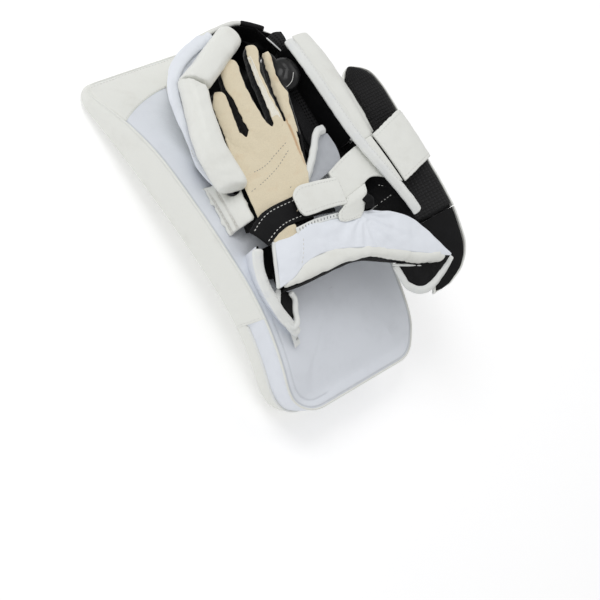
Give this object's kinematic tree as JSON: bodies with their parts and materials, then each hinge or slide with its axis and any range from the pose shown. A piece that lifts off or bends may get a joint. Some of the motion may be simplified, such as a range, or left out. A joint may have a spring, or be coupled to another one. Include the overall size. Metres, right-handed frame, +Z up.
{
  "type": "ice hockey goalie blocker glove",
  "caption": "Ice hockey goalie blocker: an arched padded board with a gloved hand on its back, finger box, thumb guard, wrist strap and cuff.",
  "frame": {"origin": "bottom centre of the blocker as it lies on its board, palm side up", "axes": "+Y along the board towards the fingertips, +X across it towards the thumb, +Z up through the palm"},
  "size_m": [0.262, 0.371, 0.1301],
  "materials": {
    "white_leather": "smooth coated leather, off-white",
    "blue_white_nylon": "smooth coated nylon, cool white",
    "tan_palm_leather": "soft suede-like palm leather",
    "black_nylon": "smooth nylon",
    "black_mesh": "coarse spacer mesh",
    "black_knit": "stretch knit",
    "neoprene": "cloth-faced neoprene",
    "patent_leather": "glossy coated leather",
    "foam": "closed-cell foam",
    "plastic_sheet": "flexible sheet",
    "hook_fastener": "hook-and-loop fastener"
  },
  "bodies": {
    "board": {"anchor_pad": "white_leather", "back_seam_piping": "blue_white_nylon", "backhand_pad": "black_nylon", "board_back_cover": "blue_white_nylon", "board_back_foam": "foam", "board_front_face": "blue_white_nylon", "board_front_foam": "foam", "board_stiffener": "plastic_sheet", "board_top_panel": "white_leather", "cuff_back_pad": "black_nylon", "cuff_gussets": "black_nylon", "cuff_left_binding": "blue_white_nylon", "cuff_left_wall": "blue_white_nylon", "finger_box_floor": "black_nylon", "finger_box_foam": "foam", "finger_roll_lower": "white_leather", "finger_roll_upper": "white_leather", "finger_shell": "white_leather", "finger_shell_binding": "blue_white_nylon", "finger_shell_lining": "black_nylon", "hand_fastener_strip": "hook_fastener", "hand_riser": "foam", "index_guard": "white_leather", "index_guard_binding": "blue_white_nylon", "index_guard_foam": "foam", "index_guard_side": "white_leather", "index_lining": "black_nylon", "index_mesh_floor": "black_mesh", "palm_leather": "tan_palm_leather", "palm_side_gussets": "black_mesh", "side_wall_leather": "white_leather", "side_wall_nylon": "blue_white_nylon", "strap_anchor": "white_leather", "thumb_base_lining": "black_mesh", "thumb_base_shell": "white_leather", "thumb_crotch_panel": "blue_white_nylon", "wrist_band": "neoprene", "wrist_side_lining": "black_nylon"},
    "pinky_finger": {"pinky_palm_face": "tan_palm_leather", "pinky_gusset": "black_knit", "pinky_back_pad": "black_nylon"},
    "ring_finger": {"ring_palm_face": "tan_palm_leather", "ring_gusset": "black_knit", "ring_back_pad": "black_nylon"},
    "middle_finger": {"middle_palm_face": "tan_palm_leather", "middle_gusset": "black_knit", "middle_back_pad": "black_nylon"},
    "index_finger": {"index_palm_face": "tan_palm_leather", "index_gusset": "black_knit", "index_back_pad": "black_nylon", "index_tip_dome": "patent_leather"},
    "thumb": {"thumb_mesh": "black_mesh", "thumb_foam": "foam", "thumb_shell": "white_leather", "thumb_band": "white_leather"},
    "strap": {"wrist_strap": "white_leather", "strap_tab": "white_leather", "strap_keeper": "white_leather"},
    "cuff_flap": {"palm_cuff": "blue_white_nylon", "cuff_edge_roll": "white_leather"}
  },
  "joints": [
    {"name": "pinky_curl", "type": "hinge", "parent": "board", "child": "pinky_finger", "pos_m": [-0.07848, 0.07102, 0.08823], "axis": [0.8646, -0.3352, 0.3744], "range_deg": [0, 60]},
    {"name": "ring_curl", "type": "hinge", "parent": "board", "child": "ring_finger", "pos_m": [-0.05819, 0.07173, 0.09544], "axis": [0.8646, -0.3352, 0.3744], "range_deg": [0, 60]},
    {"name": "middle_curl", "type": "hinge", "parent": "board", "child": "middle_finger", "pos_m": [-0.03384, 0.06765, 0.105], "axis": [0.8646, -0.3352, 0.3744], "range_deg": [0, 60]},
    {"name": "index_curl", "type": "hinge", "parent": "board", "child": "index_finger", "pos_m": [-0.01963, 0.06321, 0.11096], "axis": [0.8646, -0.3352, 0.3744], "range_deg": [0, 60]},
    {"name": "thumb_lift", "type": "hinge", "parent": "board", "child": "thumb", "pos_m": [0.09403, -0.0805, 0.118], "axis": [1, 0, 0], "range_deg": [0, 15]},
    {"name": "strap_peel", "type": "hinge", "parent": "board", "child": "strap", "pos_m": [0.03403, -0.0025, 0.121], "axis": [0, 1, 0], "range_deg": [0, 75]},
    {"name": "cuff_flap_lift", "type": "hinge", "parent": "board", "child": "cuff_flap", "pos_m": [-0.09597, -0.0345, 0.1026], "axis": [-0.9682, 0.2011, -0.149], "range_deg": [0, 20]}
  ]
}
